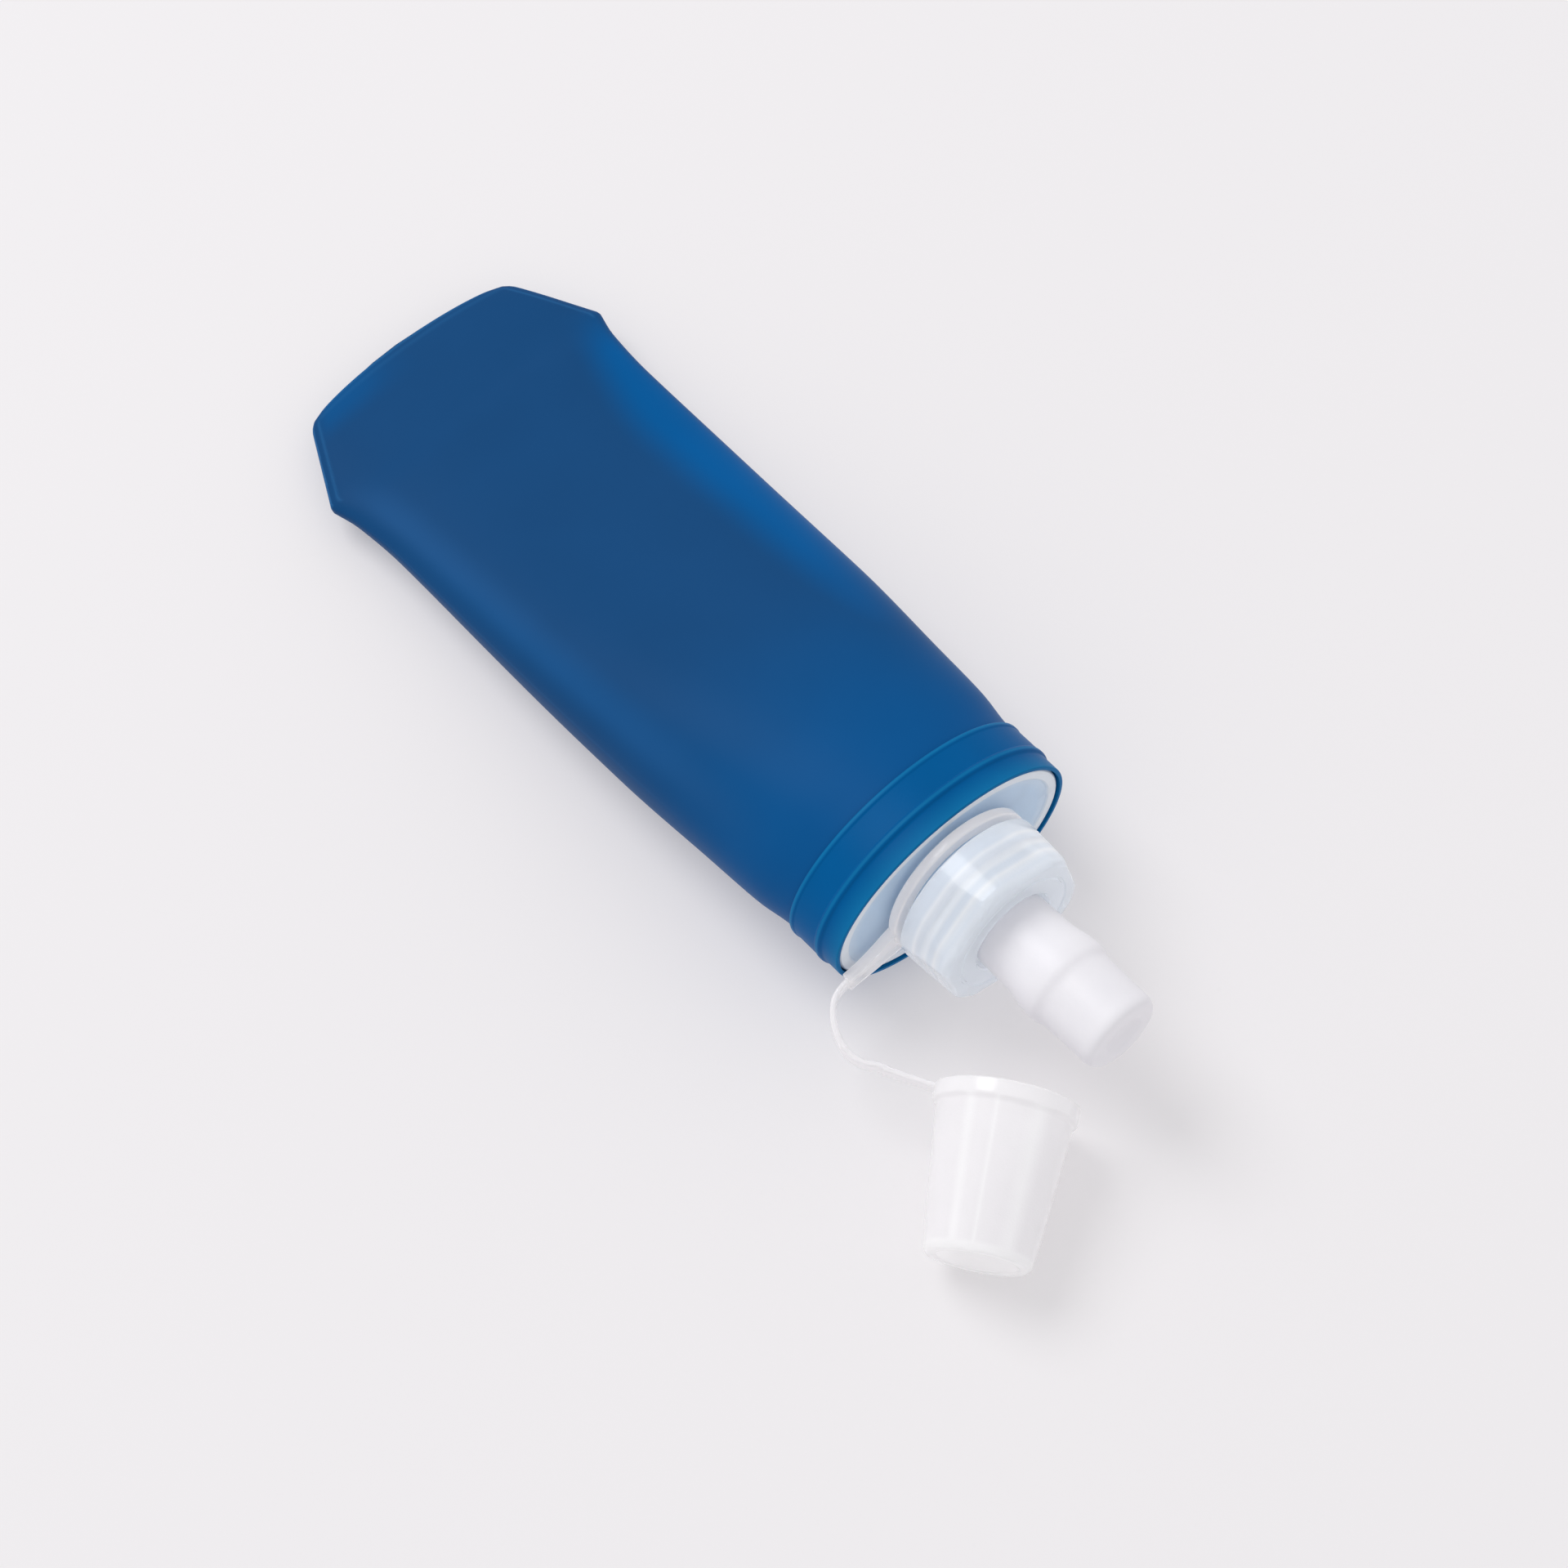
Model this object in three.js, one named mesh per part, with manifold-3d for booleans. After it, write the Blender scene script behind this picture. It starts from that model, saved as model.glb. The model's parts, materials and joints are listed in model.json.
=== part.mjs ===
// A soft folding water flask lying on its side: a film tube with a gusseted foot, an oval collar
// welded round a neck fitment, a screw cap with a bite valve, and a dust cover on a tether.
// Millimetres, +Z up, +X towards the mouth. The flask rests on the plane z = 0.
// Inside the bottle group, x = 0 is the front face of the end plate and x runs along the neck.
import * as THREE from "three";
import { mergeVertices } from "three/addons/utils/BufferGeometryUtils.js";
import Module from "manifold-3d";

const wasm = await Module();
wasm.setup();

// Clearances and walls
const gap = 0.3; // between pieces that touch or are welded
const filmWall = 0.6;
const weldWidth = 0.8; // thickness of the collar band
const runningGap = 0.5; // between pieces that turn on each other
const hingeGap = 0.6; // at each end of the tether's strap, where it bends

// End plate, skirt and neck of the fitment
const plateWidth = 54;
const plateHeight = 38;
const plateThickness = 2.4;
const skirtLength = 12.5;
const skirtWall = 1.8;
const neckRadius = 12.6;
const neckWall = 2.1;
const neckLength = 12.2;

// Screw thread, right-handed
const threadPitch = 2.7;
const threadHeight = 1.3;
const threadRoot = 1.3; // width where a ridge meets its wall
const threadCrest = 0.6;
const threadInset = 0.8; // from the cap's open end to the first ridge
const neckTurns = 1.75;
const capTurns = 1.5;

// Collar band
const bandLip = 0.4; // how far it stands in front of the end plate
const bandStep = 4.2; // where it steps out over the end of the film
const bandLength = 12.2;

// Film body
const bodyLength = 166; // end plate to the foot's edge
const bodyWidth = 63.6;
const earStand = 2.8; // how far each weld ear of the foot stands out past the body's side
const earSetback = 22.5; // from the foot's edge to the ears
const earRound = 3.5; // length over which the outline turns at an ear
const footInset = 6.8; // from the body's side to the end of the foot's edge
const footBow = 4.6; // how far the middle of the foot's edge stands past its corners
const footRise = 28; // from the foot's edge to the last place where the underside lies flat
const footRiseHeight = 7.8; // half the thickness there
const footEdgeHeight = 1.7; // half the thickness of the welded edge
const dishDepth = 1.6; // hollow along the middle of the upper side
const slackStart = 45; // where the upper side begins to sink below the lower side's mirror image
const slackShare = 0.4; // how much of its height it has lost where the underside leaves the table
const foldDistance = 88;
const foldLift = 1.2; // height of the fold's axis over the upper side
const gussetDepth = 18; // how far the base panel is folded in
const gussetSheet = 0.5;
const gussetMargin = 3.2; // from the film's side edge to the panel's

// Screw cap, seal and valve
const capWall = 2.1;
const capRoofDepth = 3.1;
const capEdge = 1.3; // rounding of the front edge
const flatCount = 6;
const flatInset = 0.2; // how deep the flats lie in the wall at the cap's open end
const flatTaper = 1.15; // how much deeper they lie at its front
const flatAngle = 72; // degrees from +Y to the middle of one flat
const sealThickness = 1.2;
const recessDepth = 1.5;
const stemRadius = 5;
const stemBore = 2.5;
const stemLength = 12.9; // past the cap's front
const barb = 0.25;
const valveBase = 8;
const valveBulge = 9.15;
const valveBarrel = 8.35;
const valveWall = 2.2;
const valveLength = 30.1;

// Tether and dust cover
const ringThickness = 2.1;
const ringStart = 1;
const ringBreadth = 3.1;
const ringClearance = 1.5; // from the ring to the cap's open end
const armReach = 27.4; // from the neck's axis to the end of the ring's arm
const armRoot = 6.4;
const armTip = 4;
const armDrop = 5; // how far the arm's end lies under the neck's axis
const strapThickness = 1.1;
const strapWidth = 3.2;
const coverHeadroom = 0.8; // how much longer the cover is than the valve
const coverClearance = 2.45; // round the valve's widest part
const coverRimStand = 0.7;
const coverTaper = 2.6;
const coverWall = 1.1;
const coverBand = 3;
const coverEdge = 1.6; // rounding of the closed end
const coverPlace = new THREE.Vector2(37.4, -19.4); // middle of the mouth, from the end plate
const coverTurn = -52.8; // degrees from +X to the cover's closed end

const roundSteps = 48;
const degree = Math.PI / 180;

// ---- Sizes that follow from the ones above --------------------------------------------------

const neckBore = neckRadius - neckWall;
const ringRadius = neckRadius + runningGap + ringBreadth;
const capStart = ringStart + ringThickness + ringClearance;
const threadStart = capStart + threadInset;
const capInside = neckRadius + threadHeight + runningGap;
const capRadius = capInside + capWall;
const capRoof = neckLength + gap + sealThickness + gap;
const capFront = capRoof + capRoofDepth;
const recessFloor = capFront - recessDepth;
const valveStart = recessFloor + gap;
const valveTip = valveStart + valveLength;
const stemTip = capFront + stemLength;
const coverMouth = valveBulge + coverClearance + coverWall;
const coverRim = coverMouth + coverRimStand;
const coverEnd = coverMouth - coverTaper;
const coverLength = valveLength + coverHeadroom;
const earWidth = bodyWidth + 2 * earStand;
const footEdgeWidth = bodyWidth - 2 * footInset;
const earDistance = bodyLength - earSetback;
const cornerDistance = bodyLength - footBow;
const footContact = bodyLength - footRise;

// ---- Solids -------------------------------------------------------------------------------

// A closed geometry as a solid with its faces outward, whichever way round it was drawn.
function solidOf(geometry) {
  const bare = geometry.index ? geometry.toNonIndexed() : geometry.clone();
  bare.deleteAttribute("normal");
  bare.deleteAttribute("uv");
  const merged = mergeVertices(bare, 1e-4);
  const corners = new Uint32Array(merged.index.array);
  const closed = (triVerts) =>
    new wasm.Manifold(
      new wasm.Mesh({
        numProp: 3,
        vertProperties: merged.attributes.position.array,
        triVerts,
      }),
    );
  const solid = closed(corners);
  return solid.volume() > 0 ? solid : closed(corners.reverse());
}

function piece(name, solid, material) {
  const mesh = solid.getMesh();
  const geometry = new THREE.BufferGeometry();
  geometry.setAttribute("position", new THREE.BufferAttribute(mesh.vertProperties, 3));
  geometry.setIndex(new THREE.BufferAttribute(mesh.triVerts, 1));
  geometry.computeVertexNormals();
  const made = new THREE.Mesh(geometry, material);
  made.name = name;
  return made;
}

// Turns a closed outline of [radius, distance along +X] round the X axis.
function turned(outline) {
  const points = [...outline, outline[0]].map(([radius, along]) => new THREE.Vector2(radius, along));
  return solidOf(new THREE.LatheGeometry(points, roundSteps).rotateZ(-Math.PI / 2));
}

// Joins rings of equal, even count into one closed body. Each end is closed by rungs across
// the ring, between the points that lie at the same number of steps from its first point.
function lofted(rings) {
  const count = rings[0].length;
  const faces = [];
  rings.slice(1).forEach((ring, row) => {
    for (let i = 0; i < count; i++) {
      const next = (i + 1) % count;
      const low = row * count;
      const high = low + count;
      faces.push(low + i, high + i, high + next, low + i, high + next, low + next);
    }
  });
  const last = (rings.length - 1) * count;
  const rung = (a, b, c) => faces.push(a, b, c, last + a, last + c, last + b);
  for (let i = 0; i < count / 2; i++) {
    const far = count - i;
    if (far - 1 > i + 1) rung(i, i + 1, far - 1);
    if (i > 0) rung(i, far - 1, far);
  }
  const geometry = new THREE.BufferGeometry().setFromPoints(rings.flat());
  geometry.setIndex(faces);
  return solidOf(geometry);
}

// An oval cylinder from x = start to x = end, with the given half sizes across and up.
function ovalBar(halfWidth, halfHeight, start, end) {
  const shape = new THREE.Shape().absellipse(0, 0, halfHeight, halfWidth, 0, 2 * Math.PI);
  const bar = new THREE.ExtrudeGeometry(shape, {
    depth: end - start,
    bevelEnabled: false,
    curveSegments: roundSteps,
  });
  return solidOf(bar.rotateY(Math.PI / 2).translate(start, 0, 0));
}

// A screw ridge round the X axis from one radius to another, wound right-handed.
function threadRidge(wallRadius, crestRadius, start, turns) {
  const steps = Math.round(turns * 32);
  const section = [
    [wallRadius, -threadRoot / 2],
    [crestRadius, -threadCrest / 2],
    [crestRadius, threadCrest / 2],
    [wallRadius, threadRoot / 2],
  ];
  if (crestRadius < wallRadius) section.reverse();
  const rings = [];
  for (let step = 0; step <= steps; step++) {
    const turn = (2 * Math.PI * turns * step) / steps;
    rings.push(
      section.map(([radius, shift]) => {
        const along = start + shift + (threadPitch * turn) / (2 * Math.PI);
        return new THREE.Vector3(along, radius * Math.cos(turn), radius * Math.sin(turn));
      }),
    );
  }
  return lofted(rings);
}

// ---- How the flask lies -------------------------------------------------------------------

const bandHalfHeight = plateHeight / 2 + gap + filmWall + gap + weldWidth;
const bandHalfWidth = plateWidth / 2 + gap + filmWall + gap + weldWidth;
const restSlope = (bandHalfHeight - footRiseHeight) / (footContact - bandLength);
const tilt = Math.atan(restSlope);

// Distance from the neck's axis down to the table, at a distance behind the end plate.
const tableUnder = (distance) => bandHalfHeight - restSlope * (distance - bandLength);
const plateRise = bandLength * Math.sin(tilt) + bandHalfHeight * Math.cos(tilt);

// A point of the bottle group in the frame where z is the height over the table.
function onTable(x, y, z) {
  const turnedPoint = new THREE.Vector3(x, y, z).applyAxisAngle(new THREE.Vector3(0, 1, 0), -tilt);
  return turnedPoint.setZ(turnedPoint.z + plateRise);
}

// ---- Film body ----------------------------------------------------------------------------

const filmFrontWidth = plateWidth / 2 + gap + filmWall;
const filmFrontHeight = plateHeight / 2 + gap + filmWall;
const pressed = 0.45; // how far the film would bulge under the table if it were free
const mix = (from, to, share) => from + (to - from) * share;
const freeLength = bodyLength - skirtLength;

// Stations behind the end plate: half width, half height and how square the section is.
const stations = [
  [bandStep, filmFrontWidth, filmFrontHeight, 2],
  [skirtLength, filmFrontWidth, filmFrontHeight, 2],
  [skirtLength + 0.06 * freeLength, mix(filmFrontWidth, bodyWidth / 2, 0.3), filmFrontHeight, 2.1],
  [skirtLength + 0.15 * freeLength, mix(filmFrontWidth, bodyWidth / 2, 0.5), null, 2.2],
  [skirtLength + 0.3 * freeLength, mix(filmFrontWidth, bodyWidth / 2, 0.82), null, 2.4],
  [skirtLength + 0.55 * freeLength, bodyWidth / 2, null, 2.5],
  [mix(skirtLength, footContact, 0.9), mix(bodyWidth, earWidth, 0.1) / 2, null, 2.5],
  [footContact, mix(bodyWidth, earWidth, 0.3) / 2, null, 2.4],
  [earDistance, earWidth / 2, mix(footEdgeHeight, footRiseHeight, 0.68), 2.6],
  [
    earDistance + earRound,
    mix(earWidth, footEdgeWidth, earRound / (cornerDistance - earDistance) - 0.06) / 2,
    mix(footEdgeHeight, footRiseHeight, 0.46),
    3,
  ],
  [cornerDistance, footEdgeWidth / 2, footEdgeHeight, 5],
];
stations.forEach((station) => {
  station[2] = station[2] ?? tableUnder(station[0]) + pressed;
});

const footLast = cornerDistance - earDistance - earRound;

// The station values at a distance, on a smooth curve that never passes the values beside it.
function sectionAt(distance) {
  const last = stations.length - 2;
  const above = stations.findIndex((station) => station[0] > distance);
  const k = above < 0 ? last : Math.max(0, above - 1);
  const span = stations[k + 1][0] - stations[k][0];
  const t = THREE.MathUtils.clamp((distance - stations[k][0]) / span, 0, 1);
  const slope = (row, column) => {
    if (row < 1) return 0;
    if (row > last) return (stations[row][column] - stations[last][column]) / footLast;
    const before = (stations[row][column] - stations[row - 1][column]) /
      (stations[row][0] - stations[row - 1][0]);
    const after = (stations[row + 1][column] - stations[row][column]) /
      (stations[row + 1][0] - stations[row][0]);
    return before * after > 0 ? (2 * before * after) / (before + after) : 0;
  };
  return [1, 2, 3].map((column) => {
    const from = stations[k][column];
    const to = stations[k + 1][column];
    const rise = slope(k, column) * span;
    const fall = slope(k + 1, column) * span;
    return (
      from * (2 * t ** 3 - 3 * t ** 2 + 1) +
      rise * (t ** 3 - 2 * t ** 2 + t) +
      to * (3 * t ** 2 - 2 * t ** 3) +
      fall * (t ** 3 - t ** 2)
    );
  });
}

// How much of the section's half height the upper side keeps at a distance.
function topShare(distance) {
  const sunk = THREE.MathUtils.smoothstep(distance, slackStart, footContact);
  const regained = THREE.MathUtils.smoothstep(distance, footContact, cornerDistance);
  return 1 - slackShare * sunk * (1 - regained);
}

// One ring of the film, moved inwards by inset. Past the ears the ring bows out to the foot's edge.
function filmRing(distance, inset, steps = 44) {
  const [width, height, power] = sectionAt(Math.min(distance, cornerDistance));
  const halfWidth = width - inset;
  const halfHeight = height - inset;
  const share = (distance - skirtLength) / (earDistance - skirtLength);
  const dish = dishDepth * Math.sin(Math.PI * THREE.MathUtils.clamp(share, 0, 1)) ** 1.5;
  const bow = footBow * THREE.MathUtils.smoothstep(distance, earDistance, cornerDistance);
  const floor = inset - tableUnder(distance);
  const top = topShare(distance);
  return Array.from({ length: steps }, (_, i) => {
    const angle = (2 * Math.PI * i) / steps;
    const across = Math.sign(Math.cos(angle)) * Math.abs(Math.cos(angle)) ** (2 / power);
    const up = Math.sign(Math.sin(angle)) * Math.abs(Math.sin(angle)) ** (2 / power);
    const hollow = up > 0 ? dish * (1 - across ** 2) ** 2 : 0;
    const crown = up > 0 ? height * top - inset : halfHeight;
    const level = Math.max(crown * up - hollow, floor);
    return new THREE.Vector3(-distance - bow * (1 - across ** 2), halfWidth * across, level);
  });
}

// A length of the film tube, open at both ends.
function filmTube(distances) {
  const past = 2;
  const first = distances[0];
  const end = distances[distances.length - 1];
  const outer = lofted(distances.map((distance) => filmRing(distance, 0)));
  const hollow = distances.map((distance) => filmRing(distance, filmWall));
  const before = filmRing(first, filmWall).map((point) => point.setX(point.x + past));
  const behind = filmRing(end, filmWall).map((point) => point.setX(point.x - past));
  return outer.subtract(lofted([before, ...hollow, behind]));
}

function spread(from, to, count) {
  return Array.from({ length: count + 1 }, (_, i) => mix(from, to, i / count));
}

function shoulderFilm() {
  const start = bandStep + weldWidth + gap;
  return filmTube([start, ...spread(skirtLength, foldDistance - gap, 9)]);
}

function footFilm() {
  const flat = spread(foldDistance + gap, footContact, 6);
  return filmTube([...flat, earDistance - 2, earDistance, ...spread(earDistance + 3, cornerDistance, 4)]);
}

// The base panel lies folded in between the two layers of the foot, open towards the foot's edge.
// Its rings are the folded section, drawn from one side of the foot to the other.
function baseGusset() {
  const fold = cornerDistance - gussetDepth;
  const ring = (y, edge, outer) => {
    const inner = outer - gussetSheet;
    const section = [
      [edge, outer - gussetSheet / 2],
      [edge, outer],
      [fold + 0.8, outer],
      [fold, outer / 2],
      [fold, -outer / 2],
      [fold + 0.8, -outer],
      [edge, -outer],
      [edge, gussetSheet / 2 - outer],
      [edge, -inner],
      [fold + 1.4, -inner],
      [fold + gussetSheet + 0.3, -inner / 2],
      [fold + gussetSheet + 0.3, inner / 2],
      [fold + 1.4, inner],
      [edge, inner],
    ];
    return section.map(([distance, height]) => new THREE.Vector3(-distance, y, height));
  };
  const middleHalf = footEdgeHeight - filmWall - gap;
  const sides = spread(fold + 3, cornerDistance, 4).map((distance) => [
    sectionAt(distance)[0] - gussetMargin,
    distance,
    middleHalf - 0.15,
  ]);
  const corner = sides[sides.length - 1][0];
  const halfWidth = footEdgeWidth / 2;
  const edge = [0.8, 0.55, 0.28, 0].map((share) => [
    corner * share,
    cornerDistance + footBow * (1 - ((corner * share) / halfWidth) ** 2),
    middleHalf,
  ]);
  const half = [...sides, ...edge];
  const whole = [...half, ...half.slice(0, -1).reverse().map(([y, ...rest]) => [-y, ...rest])];
  return lofted(whole.map(([y, distance, outer]) => ring(y, distance, outer)));
}

// ---- Collar and fitment -------------------------------------------------------------------

function collarBand() {
  const width = plateWidth / 2 + gap;
  const height = plateHeight / 2 + gap;
  const step = filmWall + gap;
  const lip = ovalBar(width + weldWidth, height + weldWidth, -bandStep, bandLip);
  const sleeve = ovalBar(bandHalfWidth, bandHalfHeight, -bandLength, -bandStep);
  const frontHole = ovalBar(width, height, -bandStep - weldWidth, bandLip + 1);
  const backHole = ovalBar(width + step, height + step, -bandLength - 1, -bandStep - weldWidth);
  return lip.add(sleeve).subtract(frontHole.add(backHole));
}

function neckFitment() {
  const plate = ovalBar(plateWidth / 2, plateHeight / 2, -skirtLength, 0);
  const inside = ovalBar(
    plateWidth / 2 - skirtWall,
    plateHeight / 2 - skirtWall,
    -skirtLength - 1,
    -plateThickness,
  );
  const neck = turned([
    [neckBore - 1, -plateThickness],
    [neckRadius, -plateThickness],
    [neckRadius, neckLength - 0.5],
    [neckRadius - 0.5, neckLength],
    [neckBore - 1, neckLength],
  ]);
  const bore = turned([
    [0, -skirtLength],
    [neckBore, -skirtLength],
    [neckBore, neckLength + 1],
    [0, neckLength + 1],
  ]);
  const crest = neckRadius + threadHeight;
  const ridge = threadRidge(neckRadius - gap, crest, threadStart, neckTurns);
  return plate.subtract(inside).add(neck).subtract(bore).add(ridge);
}

// ---- Cap, seal and valve ------------------------------------------------------------------

function sealWasher() {
  const near = neckLength + gap;
  return turned([
    [neckBore - 1, near],
    [capInside - runningGap, near],
    [capInside - runningGap, near + sealThickness],
    [neckBore - 1, near + sealThickness],
  ]);
}

function screwCap() {
  const round = Array.from({ length: 4 }, (_, i) => {
    const angle = (i * Math.PI) / 6;
    const inset = capEdge * (1 - Math.cos(angle));
    return [capRadius - inset, capFront - capEdge * (1 - Math.sin(angle))];
  });
  const recess = valveBase + runningGap * 2;
  const shell = turned([
    [stemBore, capRoof],
    [capInside, capRoof],
    [capInside, capStart],
    [capRadius, capStart],
    ...round,
    [recess, capFront],
    [recess, recessFloor],
    [stemBore, recessFloor],
  ]);
  const flatStart = capRadius - flatInset;
  const grow = flatTaper / (capFront - capStart);
  const reach = 4;
  const corner = 1 / Math.cos(Math.PI / flatCount);
  const hexagon = new THREE.CylinderGeometry(
    (flatStart - flatTaper - grow * reach) * corner,
    (flatStart + grow * reach) * corner,
    capFront - capStart + 2 * reach,
    flatCount,
  );
  hexagon.rotateY(Math.PI / flatCount).rotateZ(-Math.PI / 2);
  hexagon.translate((capStart + capFront) / 2, 0, 0);
  hexagon.rotateX((flatAngle - 90) * degree);
  const stem = turned([
    [stemBore, recessFloor - 0.5],
    [stemRadius, recessFloor - 0.5],
    [stemRadius, stemTip - 4],
    [stemRadius + barb, stemTip - 3.5],
    [stemRadius - 0.6, stemTip],
    [stemBore, stemTip],
  ]);
  const crest = capInside - threadHeight;
  const ridge = threadRidge(capInside + gap, crest, threadStart + threadPitch / 2, capTurns);
  return shell.intersect(solidOf(hexagon)).add(stem).add(ridge);
}

function biteValve() {
  const bore = stemRadius + barb + gap;
  const along = (share) => valveStart + share * valveLength;
  const tip = Array.from({ length: 5 }, (_, i) => {
    const angle = (i * Math.PI) / 8;
    const round = 2.1;
    return [valveBarrel - 0.1 - round * (1 - Math.cos(angle)), valveTip - round * (1 - Math.sin(angle))];
  });
  return turned([
    [bore, valveStart],
    [valveBase, valveStart],
    [valveBase + 0.3, along(0.36)],
    [valveBulge, along(0.46)],
    [valveBulge, along(0.53)],
    [valveBarrel, along(0.6)],
    ...tip,
    [4, valveTip - 0.1],
    [2, valveTip - 0.7],
    [0, valveTip - 0.9],
    [0, valveTip - 0.9 - valveWall],
    [bore, valveTip - 0.9 - valveWall],
  ]);
}

// ---- Tether and dust cover ----------------------------------------------------------------

const armEnd = onTable(ringStart + ringThickness / 2, -armReach, -armDrop);
const coverTilt = Math.atan((coverRim - coverEnd) / (coverLength - coverEdge - coverBand));
const coverRise = coverRim * Math.cos(coverTilt) + coverBand * Math.sin(coverTilt);
const coverSide = new THREE.Vector3(
  coverPlace.x + coverMouth * Math.sin(coverTurn * degree),
  coverPlace.y - coverMouth * Math.cos(coverTurn * degree),
  coverRise,
);
const strapEnd = new THREE.Vector3(coverSide.x - 8.6, coverSide.y - 5.8, coverRise);

function tetherRing() {
  const ring = turned([
    [neckRadius + runningGap, ringStart],
    [ringRadius, ringStart],
    [ringRadius, ringStart + ringThickness],
    [neckRadius + runningGap, ringStart + ringThickness],
  ]);
  const root = neckRadius + runningGap + 1;
  const arm = new THREE.Shape();
  arm.moveTo(-root, armRoot / 2 - armDrop / 2);
  arm.quadraticCurveTo(-root - 5, armTip / 2 - armDrop * 0.6, -armReach, armTip / 2 - armDrop);
  arm.lineTo(-armReach, -armTip / 2 - armDrop);
  arm.quadraticCurveTo(-root - 6, -armTip / 2 - armDrop, -root, -armRoot / 2 - armDrop * 0.7);
  const bar = new THREE.ExtrudeGeometry(arm, {
    depth: ringThickness,
    bevelEnabled: false,
    curveSegments: 6,
  });
  const turnToAxis = new THREE.Matrix4().makeBasis(
    new THREE.Vector3(0, 1, 0),
    new THREE.Vector3(0, 0, 1),
    new THREE.Vector3(1, 0, 0),
  );
  bar.applyMatrix4(turnToAxis).translate(ringStart, 0, 0);
  return ring.add(solidOf(bar));
}

// A flat strip standing on its edge along a path of points.
function strip(path, thickness, width) {
  const rings = path.map((point, i) => {
    const before = path[Math.max(0, i - 1)];
    const after = path[Math.min(path.length - 1, i + 1)];
    const along = new THREE.Vector2(after.x - before.x, after.y - before.y).normalize();
    const corner = (side, up) =>
      new THREE.Vector3(
        point.x - along.y * side * (thickness / 2),
        point.y + along.x * side * (thickness / 2),
        point.z + up * (width / 2),
      );
    return [corner(1, 1), corner(1, -1), corner(-1, -1), corner(-1, 1)];
  });
  return lofted(rings);
}

function tetherStrap() {
  const slack = strapEnd.clone().sub(armEnd);
  const start = new THREE.Vector3(armEnd.x + 0.2, armEnd.y - hingeGap, armEnd.z);
  const finish = new THREE.Vector3(strapEnd.x - hingeGap, strapEnd.y, strapEnd.z);
  const bulge = [
    [0.06, -0.62],
    [0.22, -1.08],
    [0.42, -1.36],
    [0.62, -1.46],
    [0.82, -1.3],
  ].map(([share, out]) => {
    const place = start.clone().lerp(finish, share);
    return place.setY(start.y + out * -slack.y);
  });
  const curve = new THREE.CatmullRomCurve3([start, ...bulge, finish], false, "centripetal");
  return strip(curve.getPoints(22), strapThickness, strapWidth);
}

function dustCover() {
  const round = Array.from({ length: 4 }, (_, i) => {
    const angle = (i * Math.PI) / 6;
    const along = coverLength - coverEdge * (1 - Math.sin(angle));
    return [coverEnd - coverEdge * (1 - Math.cos(angle)), along];
  });
  const cup = turned([
    [coverMouth - coverWall, 0],
    [coverRim, 0],
    [coverRim, coverBand],
    [coverMouth - 0.2, coverBand + 1],
    ...round,
    [0, coverLength],
    [0, coverLength - coverWall * 1.5],
    [coverEnd - coverWall, coverLength - coverWall * 1.5],
  ]);
  const laid = cup.rotate([0, coverTilt / degree, 0]).rotate([0, 0, coverTurn]);
  const placed = laid.translate([coverPlace.x, coverPlace.y, coverRise]);
  const bar = strip([strapEnd, coverSide], strapThickness, strapWidth);
  return placed.add(bar);
}

// ---- Assembly -----------------------------------------------------------------------------

const film = new THREE.MeshStandardMaterial({ color: "#1d4f86", roughness: 0.55, metalness: 0 });
const weld = new THREE.MeshStandardMaterial({ color: "#0b5f99", roughness: 0.45, metalness: 0 });
const plateResin = new THREE.MeshStandardMaterial({ color: "#a3b9d0", roughness: 0.4, metalness: 0 });
const clearResin = new THREE.MeshStandardMaterial({ color: "#ccd5e2", roughness: 0.3, metalness: 0 });
const silicone = new THREE.MeshStandardMaterial({ color: "#eceaee", roughness: 0.5, metalness: 0 });
const sealRubber = new THREE.MeshStandardMaterial({ color: "#dfe3e6", roughness: 0.6, metalness: 0 });

const bottle = new THREE.Group();
bottle.add(
  piece("film_body_shoulder", shoulderFilm(), film),
  piece("film_body_foot", footFilm(), film),
  piece("base_gusset", baseGusset(), film),
  piece("collar_band", collarBand(), weld),
  piece("neck_fitment", neckFitment(), plateResin),
  piece("seal_washer", sealWasher(), sealRubber),
  piece("screw_cap", screwCap(), clearResin),
  piece("bite_valve", biteValve(), silicone),
  piece("tether_ring", tetherRing(), clearResin),
);
bottle.rotation.y = -tilt;
bottle.position.z = plateRise;

const flask = new THREE.Group();
flask.add(
  bottle,
  piece("tether_strap", tetherStrap(), clearResin),
  piece("dust_cover", dustCover(), clearResin),
);

// The origin is the middle of the flask's outline on the table.
const outline = new THREE.Box3().setFromObject(flask, true);
const middle = outline.getCenter(new THREE.Vector3());
flask.position.set(-middle.x, -middle.y, -outline.min.z);

const root = new THREE.Group();
root.add(flask);

export default root;
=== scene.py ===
import json
import math

import bmesh
import bpy
from mathutils import Matrix, Vector


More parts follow.
